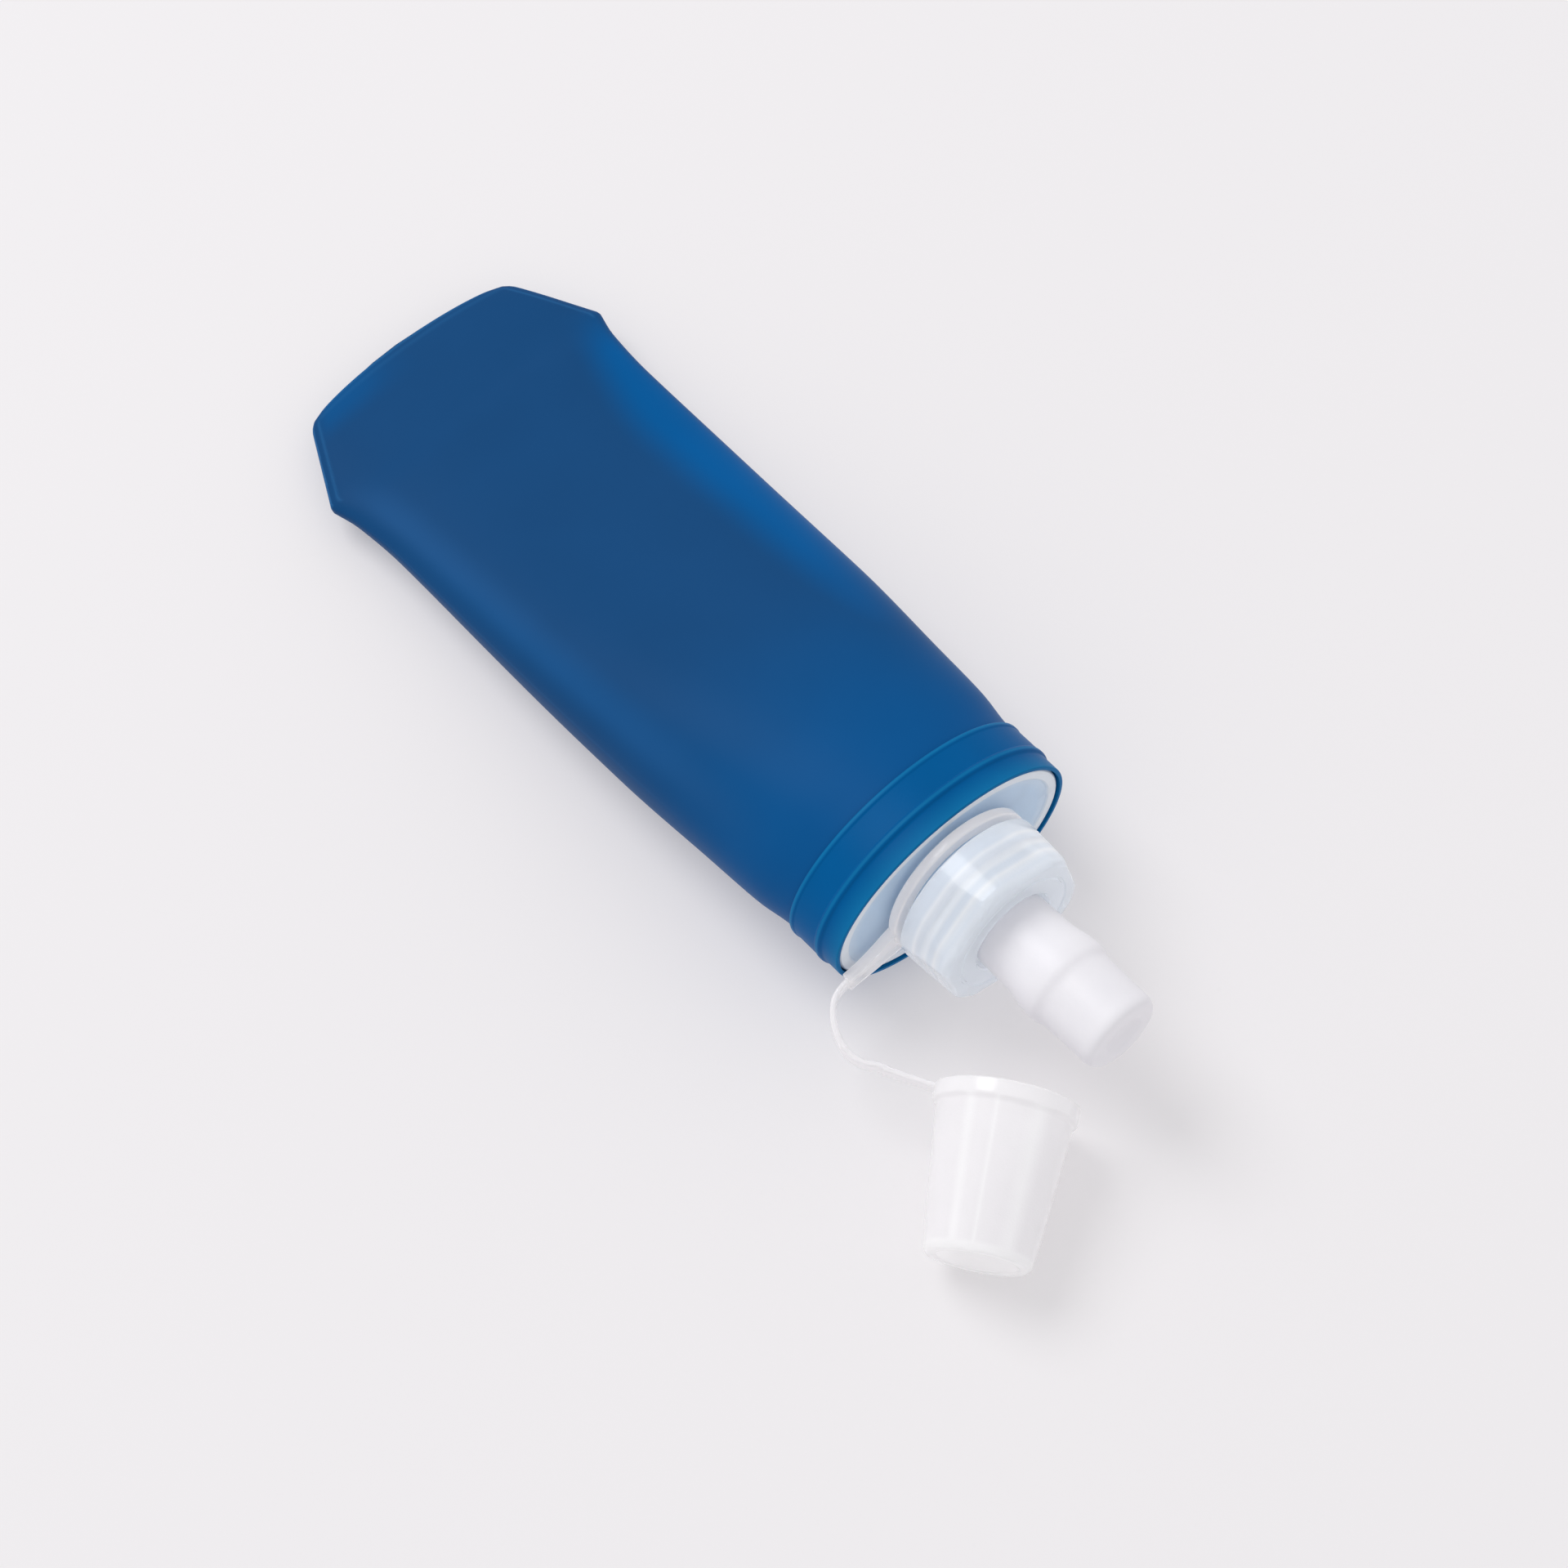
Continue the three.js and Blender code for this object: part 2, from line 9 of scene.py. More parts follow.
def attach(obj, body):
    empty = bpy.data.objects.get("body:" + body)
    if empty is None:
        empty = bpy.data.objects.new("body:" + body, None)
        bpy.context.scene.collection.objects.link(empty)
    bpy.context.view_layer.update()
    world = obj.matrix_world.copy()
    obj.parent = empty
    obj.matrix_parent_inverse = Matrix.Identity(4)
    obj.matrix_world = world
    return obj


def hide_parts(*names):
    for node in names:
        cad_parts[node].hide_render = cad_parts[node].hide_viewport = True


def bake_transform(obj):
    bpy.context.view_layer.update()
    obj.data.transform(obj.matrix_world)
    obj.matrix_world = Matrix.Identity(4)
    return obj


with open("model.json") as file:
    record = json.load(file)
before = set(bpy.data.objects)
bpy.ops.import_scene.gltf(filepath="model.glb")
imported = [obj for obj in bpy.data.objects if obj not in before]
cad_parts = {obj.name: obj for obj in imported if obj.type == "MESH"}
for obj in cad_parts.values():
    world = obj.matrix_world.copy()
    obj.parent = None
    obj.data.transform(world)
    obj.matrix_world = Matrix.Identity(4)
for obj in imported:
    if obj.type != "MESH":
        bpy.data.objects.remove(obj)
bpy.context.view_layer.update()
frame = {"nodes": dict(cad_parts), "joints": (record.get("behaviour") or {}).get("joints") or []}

mm = 0.001

# The neck's own axes: x runs along the neck from the end plate, y across, z up out of the flask.
joints = {joint["name"]: joint for joint in frame["joints"]}
neckAxis = Vector(joints["cap_turn"]["axis"]).normalized()
acrossAxis = Vector((0, 1, 0))
risingAxis = neckAxis.cross(acrossAxis)
capStart = 4.6
plateCentre = Vector(joints["cap_turn"]["pos_m"]) - neckAxis * capStart * mm


def onNeck(x, y, z):
    return plateCentre + (neckAxis * x + acrossAxis * y + risingAxis * z) * mm


def ringFaces(rows, count, closed=False):
    faces = []
    for row in range(rows if closed else rows - 1):
        near, far = row * count, (row + 1) % rows * count
        for i in range(count):
            j = (i + 1) % count
            faces.append((near + i, near + j, far + j, far + i))
    return faces


def closedEnds(rows, count):
    faces = ringFaces(rows, count)
    faces.append(tuple(range(count)))
    faces.append(tuple(reversed(range((rows - 1) * count, rows * count))))
    return faces


def makePiece(name, points, faces, material, marks=None, crease=35):
    mesh = bpy.data.meshes.new(name)
    mesh.from_pydata([tuple(point) for point in points], [], faces)
    for mark, values in (marks or {}).items():
        mesh.attributes.new(mark, "FLOAT", "POINT").data.foreach_set("value", values)
    work = bmesh.new()
    work.from_mesh(mesh)
    bmesh.ops.remove_doubles(work, verts=work.verts, dist=2e-7)
    bmesh.ops.recalc_face_normals(work, faces=work.faces)
    work.to_mesh(mesh)
    work.free()
    mesh.shade_smooth()
    mesh.set_sharp_from_angle(angle=math.radians(crease))
    mesh.materials.append(material)
    piece = bpy.data.objects.new(name, mesh)
    bpy.context.scene.collection.objects.link(piece)
    return piece


def softCorners(profile, steps=4):  # points are (radius, along) or (radius, along, fillet)
    corners = [(Vector(point[:2]), point[2] if len(point) > 2 else 0) for point in profile]
    outline = []
    for i, (corner, fillet) in enumerate(corners):
        before, after = corners[i - 1][0], corners[(i + 1) % len(corners)][0]
        if not fillet:
            outline.append(corner)
            continue
        cutIn = min(fillet, (before - corner).length * 0.48)
        cutOut = min(fillet, (after - corner).length * 0.48)
        start = corner.lerp(before, cutIn / (before - corner).length)
        end = corner.lerp(after, cutOut / (after - corner).length)
        for step in range(steps + 1):
            t = step / steps
            outline.append(start * (1 - t) ** 2 + corner * 2 * t * (1 - t) + end * t ** 2)
    return outline


def spinPoints(profile, place, count=96, reach=None):
    points = []
    for radius, along in profile:
        for i in range(count):
            angle = 2 * math.pi * i / count
            r = reach(radius, along, angle) if reach else radius
            points.append(place(along, r * math.cos(angle), r * math.sin(angle)))
    return points


def sweepBar(name, path, section, material):
    # A closed section of (sideways, upwards) points carried along a path, with both ends closed.
    up = Vector((0, 0, 1))
    points = []
    for i, point in enumerate(path):
        along = (path[min(i + 1, len(path) - 1)] - path[max(i - 1, 0)]).normalized()
        side = up.cross(along).normalized()
        for sideways, upwards in section:
            points.append(point + side * sideways + up * upwards)
    return makePiece(name, points, closedEnds(len(path), len(section)), material)


def roundedBar(width, height, radius, steps=4):
    corners = [(1, 1, 0), (-1, 1, 90), (-1, -1, 180), (1, -1, 270)]
    section = []
    for sx, sy, start in corners:
        for step in range(steps + 1):
            angle = math.radians(start + 90 * step / steps)
            section.append((sx * (width / 2 - radius) + radius * math.cos(angle),
                            sy * (height / 2 - radius) + radius * math.sin(angle)))
    return section


def smoothPath(points, count):  # a centripetal curve through the points
    points = [Vector(point) for point in points]
    ends = [points[0] * 2 - points[1]] + points + [points[-1] * 2 - points[-2]]
    knots = [0]
    for a, b in zip(ends, ends[1:]):
        knots.append(knots[-1] + max((b - a).length ** 0.5, 1e-6))
    path = []
    for step in range(count + 1):
        t = knots[1] + (knots[-2] - knots[1]) * step / count
        k = max(i for i in range(1, len(ends) - 2) if knots[i] <= t + 1e-9)
        p, q = ends[k - 1:k + 3], knots[k - 1:k + 3]
        a = [p[i].lerp(p[i + 1], (t - q[i]) / (q[i + 1] - q[i])) for i in range(3)]
        b = [a[i].lerp(a[i + 1], (t - q[i]) / (q[i + 2] - q[i])) for i in range(2)]
        path.append(b[0].lerp(b[1], (t - q[1]) / (q[2] - q[1])))
    return path


def hexColor(text):  # a screen colour as a linear one
    channels = [int(text[i:i + 2], 16) / 255 for i in (0, 2, 4)]
    return (*[c / 12.92 if c <= 0.04045 else ((c + 0.055) / 1.055) ** 2.4 for c in channels], 1)


def startGroup(name, inputs, outputs):
    group = bpy.data.node_groups.new(name, "ShaderNodeTree")
    for label, kind, value in inputs:
        group.interface.new_socket(label, in_out="INPUT", socket_type=kind).default_value = value
    for label, kind in outputs:
        group.interface.new_socket(label, in_out="OUTPUT", socket_type=kind)
    return group, group.nodes.new("NodeGroupInput"), group.nodes.new("NodeGroupOutput")


def mouldMottleGroup():  # faint cloudiness of a moulded or welded plastic
    group, given, result = startGroup("mouldMottle", [
        ("Color", "NodeSocketColor", (1, 1, 1, 1)), ("Scale", "NodeSocketFloat", 60.0),
        ("Amount", "NodeSocketFloat", 0.1)], [("Color", "NodeSocketColor")])
    link = group.links.new
    place = group.nodes.new("ShaderNodeTexCoord")
    cloud = group.nodes.new("ShaderNodeTexNoise")
    cloud.inputs["Detail"].default_value = 4
    spread = group.nodes.new("ShaderNodeMapRange")
    spread.inputs["From Min"].default_value = 0.3
    spread.inputs["From Max"].default_value = 0.7
    darker = group.nodes.new("ShaderNodeMath")
    darker.operation = "MULTIPLY"
    shade = group.nodes.new("ShaderNodeHueSaturation")
    value = group.nodes.new("ShaderNodeMath")
    value.operation = "SUBTRACT"
    value.inputs[0].default_value = 1
    link(place.outputs["Object"], cloud.inputs["Vector"])
    link(given.outputs["Scale"], cloud.inputs["Scale"])
    link(cloud.outputs["Fac"], spread.inputs["Value"])
    link(spread.outputs["Result"], darker.inputs[0])
    link(given.outputs["Amount"], darker.inputs[1])
    link(darker.outputs[0], value.inputs[1])
    link(value.outputs[0], shade.inputs["Value"])
    link(given.outputs["Color"], shade.inputs["Color"])
    link(shade.outputs["Color"], result.inputs["Color"])
    return group


def satinGrainGroup():  # fine grain and slow ripple of a satin surface, as a height
    group, given, result = startGroup("satinGrain", [
        ("Grain Scale", "NodeSocketFloat", 2500.0), ("Ripple Scale", "NodeSocketFloat", 120.0),
        ("Ripple", "NodeSocketFloat", 0.3)], [("Height", "NodeSocketFloat")])
    link = group.links.new
    place = group.nodes.new("ShaderNodeTexCoord")
    grain = group.nodes.new("ShaderNodeTexNoise")
    grain.inputs["Detail"].default_value = 2
    ripple = group.nodes.new("ShaderNodeTexNoise")
    ripple.inputs["Detail"].default_value = 2
    slow = group.nodes.new("ShaderNodeMath")
    slow.operation = "MULTIPLY"
    total = group.nodes.new("ShaderNodeMath")
    total.operation = "ADD"
    link(place.outputs["Object"], grain.inputs["Vector"])
    link(place.outputs["Object"], ripple.inputs["Vector"])
    link(given.outputs["Grain Scale"], grain.inputs["Scale"])
    link(given.outputs["Ripple Scale"], ripple.inputs["Scale"])
    link(ripple.outputs["Fac"], slow.inputs[0])
    link(given.outputs["Ripple"], slow.inputs[1])
    link(grain.outputs["Fac"], total.inputs[0])
    link(slow.outputs[0], total.inputs[1])
    link(total.outputs[0], result.inputs["Height"])
    return group


mouldMottle = mouldMottleGroup()
satinGrain = satinGrainGroup()


def finish(name, color, roughness, mottle=(60, 0.08), grain=(2500, 120, 0.3), bump=(0.15, 0.0001),
           extra=None, markColors=None):
    # One plastic: its colour, the marks painted by attributes, cloudiness, grain and gloss.
    material = bpy.data.materials.new(name)
    material.use_nodes = True
    nodes, link = material.node_tree.nodes, material.node_tree.links.new
    shader = nodes["Principled BSDF"]
    shader.inputs["Roughness"].default_value = roughness
    for label, value in (extra or {}).items():
        shader.inputs[label].default_value = value
    tint = nodes.new("ShaderNodeRGB")
    tint.outputs[0].default_value = hexColor(color)
    current = tint.outputs[0]
    for mark, markColor in (markColors or {}).items():
        painted = nodes.new("ShaderNodeAttribute")
        painted.attribute_name = mark
        mixed = nodes.new("ShaderNodeMix")
        mixed.data_type = "RGBA"
        mixed.inputs["B"].default_value = hexColor(markColor)
        link(painted.outputs["Fac"], mixed.inputs["Factor"])
        link(current, mixed.inputs["A"])
        current = mixed.outputs["Result"]
    cloudy = nodes.new("ShaderNodeGroup")
    cloudy.node_tree = mouldMottle
    cloudy.inputs["Scale"].default_value, cloudy.inputs["Amount"].default_value = mottle
    link(current, cloudy.inputs["Color"])
    link(cloudy.outputs["Color"], shader.inputs["Base Color"])
    satin = nodes.new("ShaderNodeGroup")
    satin.node_tree = satinGrain
    satin.inputs["Grain Scale"].default_value = grain[0]
    satin.inputs["Ripple Scale"].default_value = grain[1]
    satin.inputs["Ripple"].default_value = grain[2]
    relief = nodes.new("ShaderNodeBump")
    relief.inputs["Strength"].default_value, relief.inputs["Distance"].default_value = bump
    link(satin.outputs["Height"], relief.inputs["Height"])
    link(relief.outputs["Normal"], shader.inputs["Normal"])
    return material


# The film's colour, with painted light coming through the film, a painted highlight line and a lighter line
# along each weld.
blueFilm = finish("blueFilm", "174b7e", 0.4, mottle=(45, 0.06), grain=(3200, 90, 0.6),
                  bump=(0.08, 0.00006), extra={"Specular IOR Level": 0.035},
                  markColors={"paintedLight": "005b9d", "paintedSheen": "1c548b", "weld": "2a6ba3"})
# The welded band, with a painted highlight along its lip and steps.
weldedBlue = finish("weldedBlue", "005b99", 0.38, mottle=(80, 0.08), grain=(2600, 200, 0.5),
                    extra={"Specular IOR Level": 0.04}, markColors={"ridge": "1278ae"})
evenDepth = {"Subsurface Radius": (1, 1, 1)}
plateResin = finish("plateResin", "c9e0f7", 0.35, mottle=(120, 0.08), markColors={"border": "f2f8ff"},
                    extra={"Subsurface Weight": 0.2, "Subsurface Scale": 0.002, **evenDepth})
# Painted light: a little glow of their own keeps the clear resins as pale as they are when light fills them.
# The coat gives them gloss.
selfGlowAndCoat = {"Emission Color": (1, 1, 1, 1), "Emission Strength": 0.11,
         "Coat Weight": 0.4, "Coat Roughness": 0.08}
clearResin = finish("clearResin", "e1e9f3", 0.2, mottle=(150, 0.03), markColors={"thread": "ffffff"},
                    extra={"Transmission Weight": 0.5, "IOR": 1.3, **selfGlowAndCoat})
# Clear resin of the tether and dust cover, with painted highlight streaks on the cup.
tetherResin = finish("tetherResin", "f2f0f2", 0.24, mottle=(150, 0.02), markColors={"streakHighlight": "ffffff"},
                     extra={"Transmission Weight": 0.4, "IOR": 1.25, **selfGlowAndCoat})
whiteSilicone = finish("whiteSilicone", "f6f4f9", 0.45, mottle=(140, 0.03), grain=(1800, 150, 0.3),
                       extra={"Subsurface Weight": 0.3, "Subsurface Scale": 0.003, **evenDepth})
sealRubber = finish("sealRubber", "d9dde1", 0.6, mottle=(200, 0.1))
print("finishes ready")


def coatNode(name, material):
    slots = frame["nodes"][name].data.materials
    slots.clear()
    slots.append(material)


film = {
    "length": 165.2, "width": 63.6, "wall": 0.6, "start": 5.3, "skirt": 12.5, "pressed": 0.45,
    "earStand": 2.8, "earSetback": 21.7, "footInset": 6.8, "footBow": 2.3, "endRound": 3.0, "endTuck": 2.4,
    "footRise": 28, "footRiseHeight": 7.8, "edgeHeight": 1.7, "lean": 0.6, "leanStart": 70,
    "fold": 88, "foldReach": 10, "dish": 1.6, "slackStart": 45, "slackShare": 0.4, "ripple": 0.25,
    "around": 176, "shoulderRings": 46, "foldRings": 44, "footRings": 24, "endRings": 26,
}
film["ear"] = film["length"] - film["earSetback"]
film["corner"] = film["length"] - film["footBow"]
film["contact"] = film["length"] - film["footRise"]
plate = {"halfWidth": 27, "halfHeight": 19, "gap": 0.3}
collar = {"lip": 0.4, "step": 4.2, "length": 12.2, "weld": 0.8, "sleeve": 0.5, "bead": 0.18, "line": 0.45,
          "halfHeight": 21.0, "around": 160}
restSlope = (collar["halfHeight"] - film["footRiseHeight"]) / (film["contact"] - collar["length"])


def tableUnder(distance):
    return collar["halfHeight"] - restSlope * (distance - collar["length"])


def share(low, high, t):
    return low + (high - low) * t


def easeStep(low, high, value):
    t = min(max((value - low) / (high - low), 0), 1)
    return t * t * (3 - 2 * t)


def filmStations():  # rows of distance from the plate, half width, half height and squareness
    frontWidth, frontHeight = plate["halfWidth"] + 0.9, plate["halfHeight"] + 0.9
    half, earHalf = film["width"] / 2, film["width"] / 2 + film["earStand"]
    skirt, contact = film["skirt"], film["contact"]
    low, high = film["edgeHeight"], film["footRiseHeight"]

    def at(t):
        return skirt + t * (film["length"] - skirt)

    rows = [
        [4.2, frontWidth, frontHeight, 2],
        [skirt, frontWidth, frontHeight, 2],
        [at(0.06), share(frontWidth, half, 0.3), frontHeight, 2.1],
        [at(0.15), share(frontWidth, half, 0.5), None, 2.2],
        [at(0.3), share(frontWidth, half, 0.82), None, 2.4],
        [at(0.55), half, None, 2.5],
        [share(skirt, contact, 0.9), share(half, earHalf, 0.1), None, 2.5],
        [contact, share(half, earHalf, 0.45), None, 2.4],
        [film["ear"], earHalf, share(low, high, 0.68), 2.6],
        [film["corner"], half - film["footInset"], low, 5],
    ]
    return [[d, w, tableUnder(d) + film["pressed"] if h is None else h, p] for d, w, h, p in rows]


stations = filmStations()


def filmSection(distance):
    last = len(stations) - 2
    k = max([i for i in range(last + 1) if stations[i][0] <= distance] or [0])
    span = stations[k + 1][0] - stations[k][0]
    t = min(max((distance - stations[k][0]) / span, 0), 1)

    def slope(row, column):
        near, far = stations[row], stations[row + 1]
        return (far[column] - near[column]) / (far[0] - near[0])

    def rise(row, column):
        if row < 1:
            return 0
        before = slope(row - 1, column)
        if row > last:
            return before
        after = slope(row, column)
        if row == last and column == 1:  # the ear is a sharp corner, so each side keeps its own slope
            return after if k == row else before
        return 2 * before * after / (before + after) if before * after > 0 else 0

    values = []
    for column in (1, 2, 3):
        value = stations[k][column] * (2 * t ** 3 - 3 * t ** 2 + 1)
        value += rise(k, column) * span * (t ** 3 - 2 * t ** 2 + t)
        value += stations[k + 1][column] * (3 * t ** 2 - 2 * t ** 3)
        value += rise(k + 1, column) * span * (t ** 3 - t ** 2)
        values.append(value)
    return values


# Sizes of the film's painted light and of its weld line.
filmPaint = {"under": 0.4, "side": (0.48, 0.78), "sideStart": (20, 75),
             "narrowing": 34, "narrowBy": 0.2, "rim": 0.93, "rimFade": 0.5,
             "collar": 0.6, "collarEnd": (14, 66), "corner": 0.5,
             "weldInset": 2.0, "weldWidth": 0.5}


def band(low, rising, falling, high, value):
    return easeStep(low, rising, value) * (1 - easeStep(falling, high, value))


def paintedFilmLight(distance, across, upper):  # painted light coming through the film: brighter blue along one side, by the collar and at one corner
    ear, corner = film["ear"], film["corner"]
    narrowing = easeStep(ear - filmPaint["narrowing"], ear, distance) * filmPaint["narrowBy"]
    inner, full = filmPaint["side"]
    side = easeStep(inner + narrowing, full + narrowing, across)
    side *= 1 - easeStep(filmPaint["rim"], 1.0, across) * filmPaint["rimFade"]
    side *= band(*filmPaint["sideStart"], ear - 12, ear + 5, distance) if upper else filmPaint["under"]
    byCollar = filmPaint["collar"] * (1 - easeStep(*filmPaint["collarEnd"], distance))
    atCorner = easeStep(corner - 9, corner - 3, distance) * band(-1, -0.8, -0.6, 0, across)
    return max(side, byCollar, filmPaint["corner"] * atCorner)


def paintedSheenLine(distance, across, upper):  # painted highlight: a paler line along the other side
    if not upper:
        return 0
    ear = film["ear"]
    return band(-0.97, -0.86, -0.86, -0.66, across) * band(15, 50, ear - 12, ear + 4, distance)


def weldLine(distance, across, width):  # the pressed line of the edge weld
    ear = film["ear"]
    toEnd = min(film["corner"] - distance, 99) if abs(across) < 0.995 else 0
    toSide = width * (1 - abs(across)) * (1 if distance > ear - 1 else 9)
    nearest = min(toEnd, toSide)
    line = max(0, 1 - abs(nearest - filmPaint["weldInset"]) / filmPaint["weldWidth"]) * 0.5
    return line + (0.7 if nearest < 0.5 and distance > ear else 0)


def evenSteps(start, end, steps):
    return [share(start, end, i / steps) for i in range(steps)]


def filmSkin():
    ear, corner, contact = film["ear"], film["corner"], film["contact"]
    count = film["around"]
    bend = film["foldReach"] + 1
    distances = evenSteps(film["start"], film["fold"] - bend, film["shoulderRings"])
    distances += evenSteps(film["fold"] - bend, film["fold"] + bend, film["foldRings"])
    distances += evenSteps(film["fold"] + bend, ear - 3, film["footRings"])
    distances += evenSteps(ear - 3, corner, film["endRings"]) + [corner]
    points, paintedLight, weld, paintedSheen = [], [], [], []

    def ring(distance, inset):
        width, height, power = filmSection(min(distance, corner))
        tuck = min(max(1 - (corner - distance) / film["endRound"], 0), 1)
        width -= film["endTuck"] * (1 - math.sqrt(1 - tuck ** 2))
        along = (distance - film["skirt"]) / (ear - film["skirt"])
        dish = film["dish"] * math.sin(math.pi * min(max(along, 0), 1)) ** 1.5
        bow = film["footBow"] * easeStep(ear, corner, distance)
        floor = inset - tableUnder(distance)
        lean = film["lean"] * easeStep(film["leanStart"], ear - 10, distance)
        sunk = easeStep(film["slackStart"], contact, distance)
        regained = easeStep(contact, corner, distance)
        crown = height * (1 - film["slackShare"] * sunk * (1 - regained)) - inset
        rippling = film["ripple"] * band(20, 60, ear - 20, ear, distance)
        for i in range(count):
            angle = 2 * math.pi * i / count
            c, s = math.cos(angle), math.sin(angle)
            across = math.copysign(abs(c) ** (2 / power), c)
            up = math.copysign(abs(s) ** (2 / power), s)
            upper = up > 0
            z = max((height - inset) * up, floor)
            if upper:
                z = max(crown * up - dish * (1 - across ** 2) ** 2, floor)
                wave = math.sin(distance * 0.045 + across * 1.7)
                wave *= math.sin(across * 2.2 + distance * 0.03 + 1)
                z += rippling * wave * (1 - abs(across))
            points.append(onNeck(-distance - bow * (1 - across ** 2), (width - inset) * across + lean, z))
            # painted light coming through the film
            paintedLight.append(paintedFilmLight(distance, across, upper))
            # painted highlight along the other side
            paintedSheen.append(paintedSheenLine(distance, across, upper))
            weld.append(weldLine(distance, across, width))

    for distance in distances:
        ring(distance, 0)
    for distance in reversed(distances):
        ring(distance, film["wall"])
    faces = ringFaces(2 * len(distances), count, closed=True)
    marks = {"paintedLight": paintedLight, "weld": weld, "paintedSheen": paintedSheen}
    skin = makePiece("flaskSkin", points, faces, blueFilm, marks, crease=50)
    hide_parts("film_body_shoulder", "film_body_foot")
    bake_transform(skin)


filmSkin()
coatNode("base_gusset", blueFilm)
print("film body welded")


def ovalRing(x, grow, count):
    halfWidth, halfHeight = plate["halfWidth"] + grow, plate["halfHeight"] + grow
    turns = [2 * math.pi * i / count for i in range(count)]
    return [onNeck(x, halfWidth * math.cos(turn), halfHeight * math.sin(turn)) for turn in turns]


def collarBand():
    inner, outer = plate["gap"], plate["gap"] + collar["weld"]
    under, sleeve = inner + 0.9, outer + collar["sleeve"]
    trough = sleeve - collar["bead"]
    lip, step, end = collar["lip"], -collar["step"], -collar["length"]
    profile = softCorners([
        (inner, lip), (outer, lip, 0.35), (outer, step + 0.5, 0.3), (sleeve, step, 0.35),
        (sleeve, step - 0.9, 0.2), (trough, step - 1.2, 0.2), (trough, end + 1.2, 0.2),
        (sleeve, end + 0.9, 0.2), (sleeve, end, 0.35), (under, end), (under, step - collar["weld"]),
        (inner, step - collar["weld"])])
    count, points, ridge = collar["around"], [], []
    for grow, x in profile:
        points += ovalRing(x, grow, count)
        # painted highlight: a paler line at the lip, the step and the back end of the band
        nearLine = min(abs(x - step + 0.5), abs(x - end - 0.4), abs(x - lip / 2))
        ridge += [max(0, 1 - nearLine / collar["line"])] * count
    faces = ringFaces(len(profile), count, closed=True)
    sleeveBand = makePiece("collarBand", points, faces, weldedBlue, {"ridge": ridge})
    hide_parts("collar_band")
    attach(sleeveBand, "base")


collarBand()
print("collar band on")


def threadTree():  # a ridge of given section wound round the neck's axis
    tree = bpy.data.node_groups.new("threadRidge", "GeometryNodeTree")
    for label, kind in [
        ("Radius", "Float"), ("Pitch", "Float"), ("Turns", "Float"), ("Ridge Width", "Float"),
        ("Ridge Height", "Float"), ("Start", "Vector"), ("Lean", "Vector"), ("Finish", "Material")]:
        tree.interface.new_socket(label, in_out="INPUT", socket_type="NodeSocket" + kind)
    tree.interface.new_socket("Geometry", in_out="OUTPUT", socket_type="NodeSocketGeometry")
    nodes, link = tree.nodes, tree.links.new
    given, result = nodes.new("NodeGroupInput"), nodes.new("NodeGroupOutput")
    spiral = nodes.new("GeometryNodeCurveSpiral")
    spiral.inputs["Resolution"].default_value = 64
    rise = nodes.new("ShaderNodeMath")
    rise.operation = "MULTIPLY"
    section = nodes.new("GeometryNodeCurvePrimitiveQuadrilateral")
    soften = nodes.new("GeometryNodeFilletCurve")
    soften.mode = "POLY"
    soften.inputs["Count"].default_value = 3
    soften.inputs["Radius"].default_value = 0.00035
    sweepNode = nodes.new("GeometryNodeCurveToMesh")
    sweepNode.inputs["Fill Caps"].default_value = True
    turn = nodes.new("GeometryNodeTransform")
    realize = nodes.new("GeometryNodeRealizeInstances")
    paint = nodes.new("GeometryNodeSetMaterial")
    link(given.outputs["Turns"], spiral.inputs["Rotations"])
    link(given.outputs["Radius"], spiral.inputs["Start Radius"])
    link(given.outputs["Radius"], spiral.inputs["End Radius"])
    link(given.outputs["Pitch"], rise.inputs[0])
    link(given.outputs["Turns"], rise.inputs[1])
    link(rise.outputs[0], spiral.inputs["Height"])
    link(given.outputs["Ridge Width"], section.inputs["Width"])
    link(given.outputs["Ridge Height"], section.inputs["Height"])
    link(section.outputs["Curve"], soften.inputs["Curve"])
    link(spiral.outputs["Curve"], sweepNode.inputs["Curve"])
    link(soften.outputs["Curve"], sweepNode.inputs["Profile Curve"])
    link(sweepNode.outputs["Mesh"], turn.inputs["Geometry"])
    link(given.outputs["Start"], turn.inputs["Translation"])
    link(given.outputs["Lean"], turn.inputs["Rotation"])
    link(turn.outputs["Geometry"], realize.inputs["Geometry"])
    link(realize.outputs["Geometry"], paint.inputs["Geometry"])
    link(given.outputs["Finish"], paint.inputs["Material"])
    link(paint.outputs["Geometry"], result.inputs["Geometry"])
    return tree


ridgeTree = threadTree()


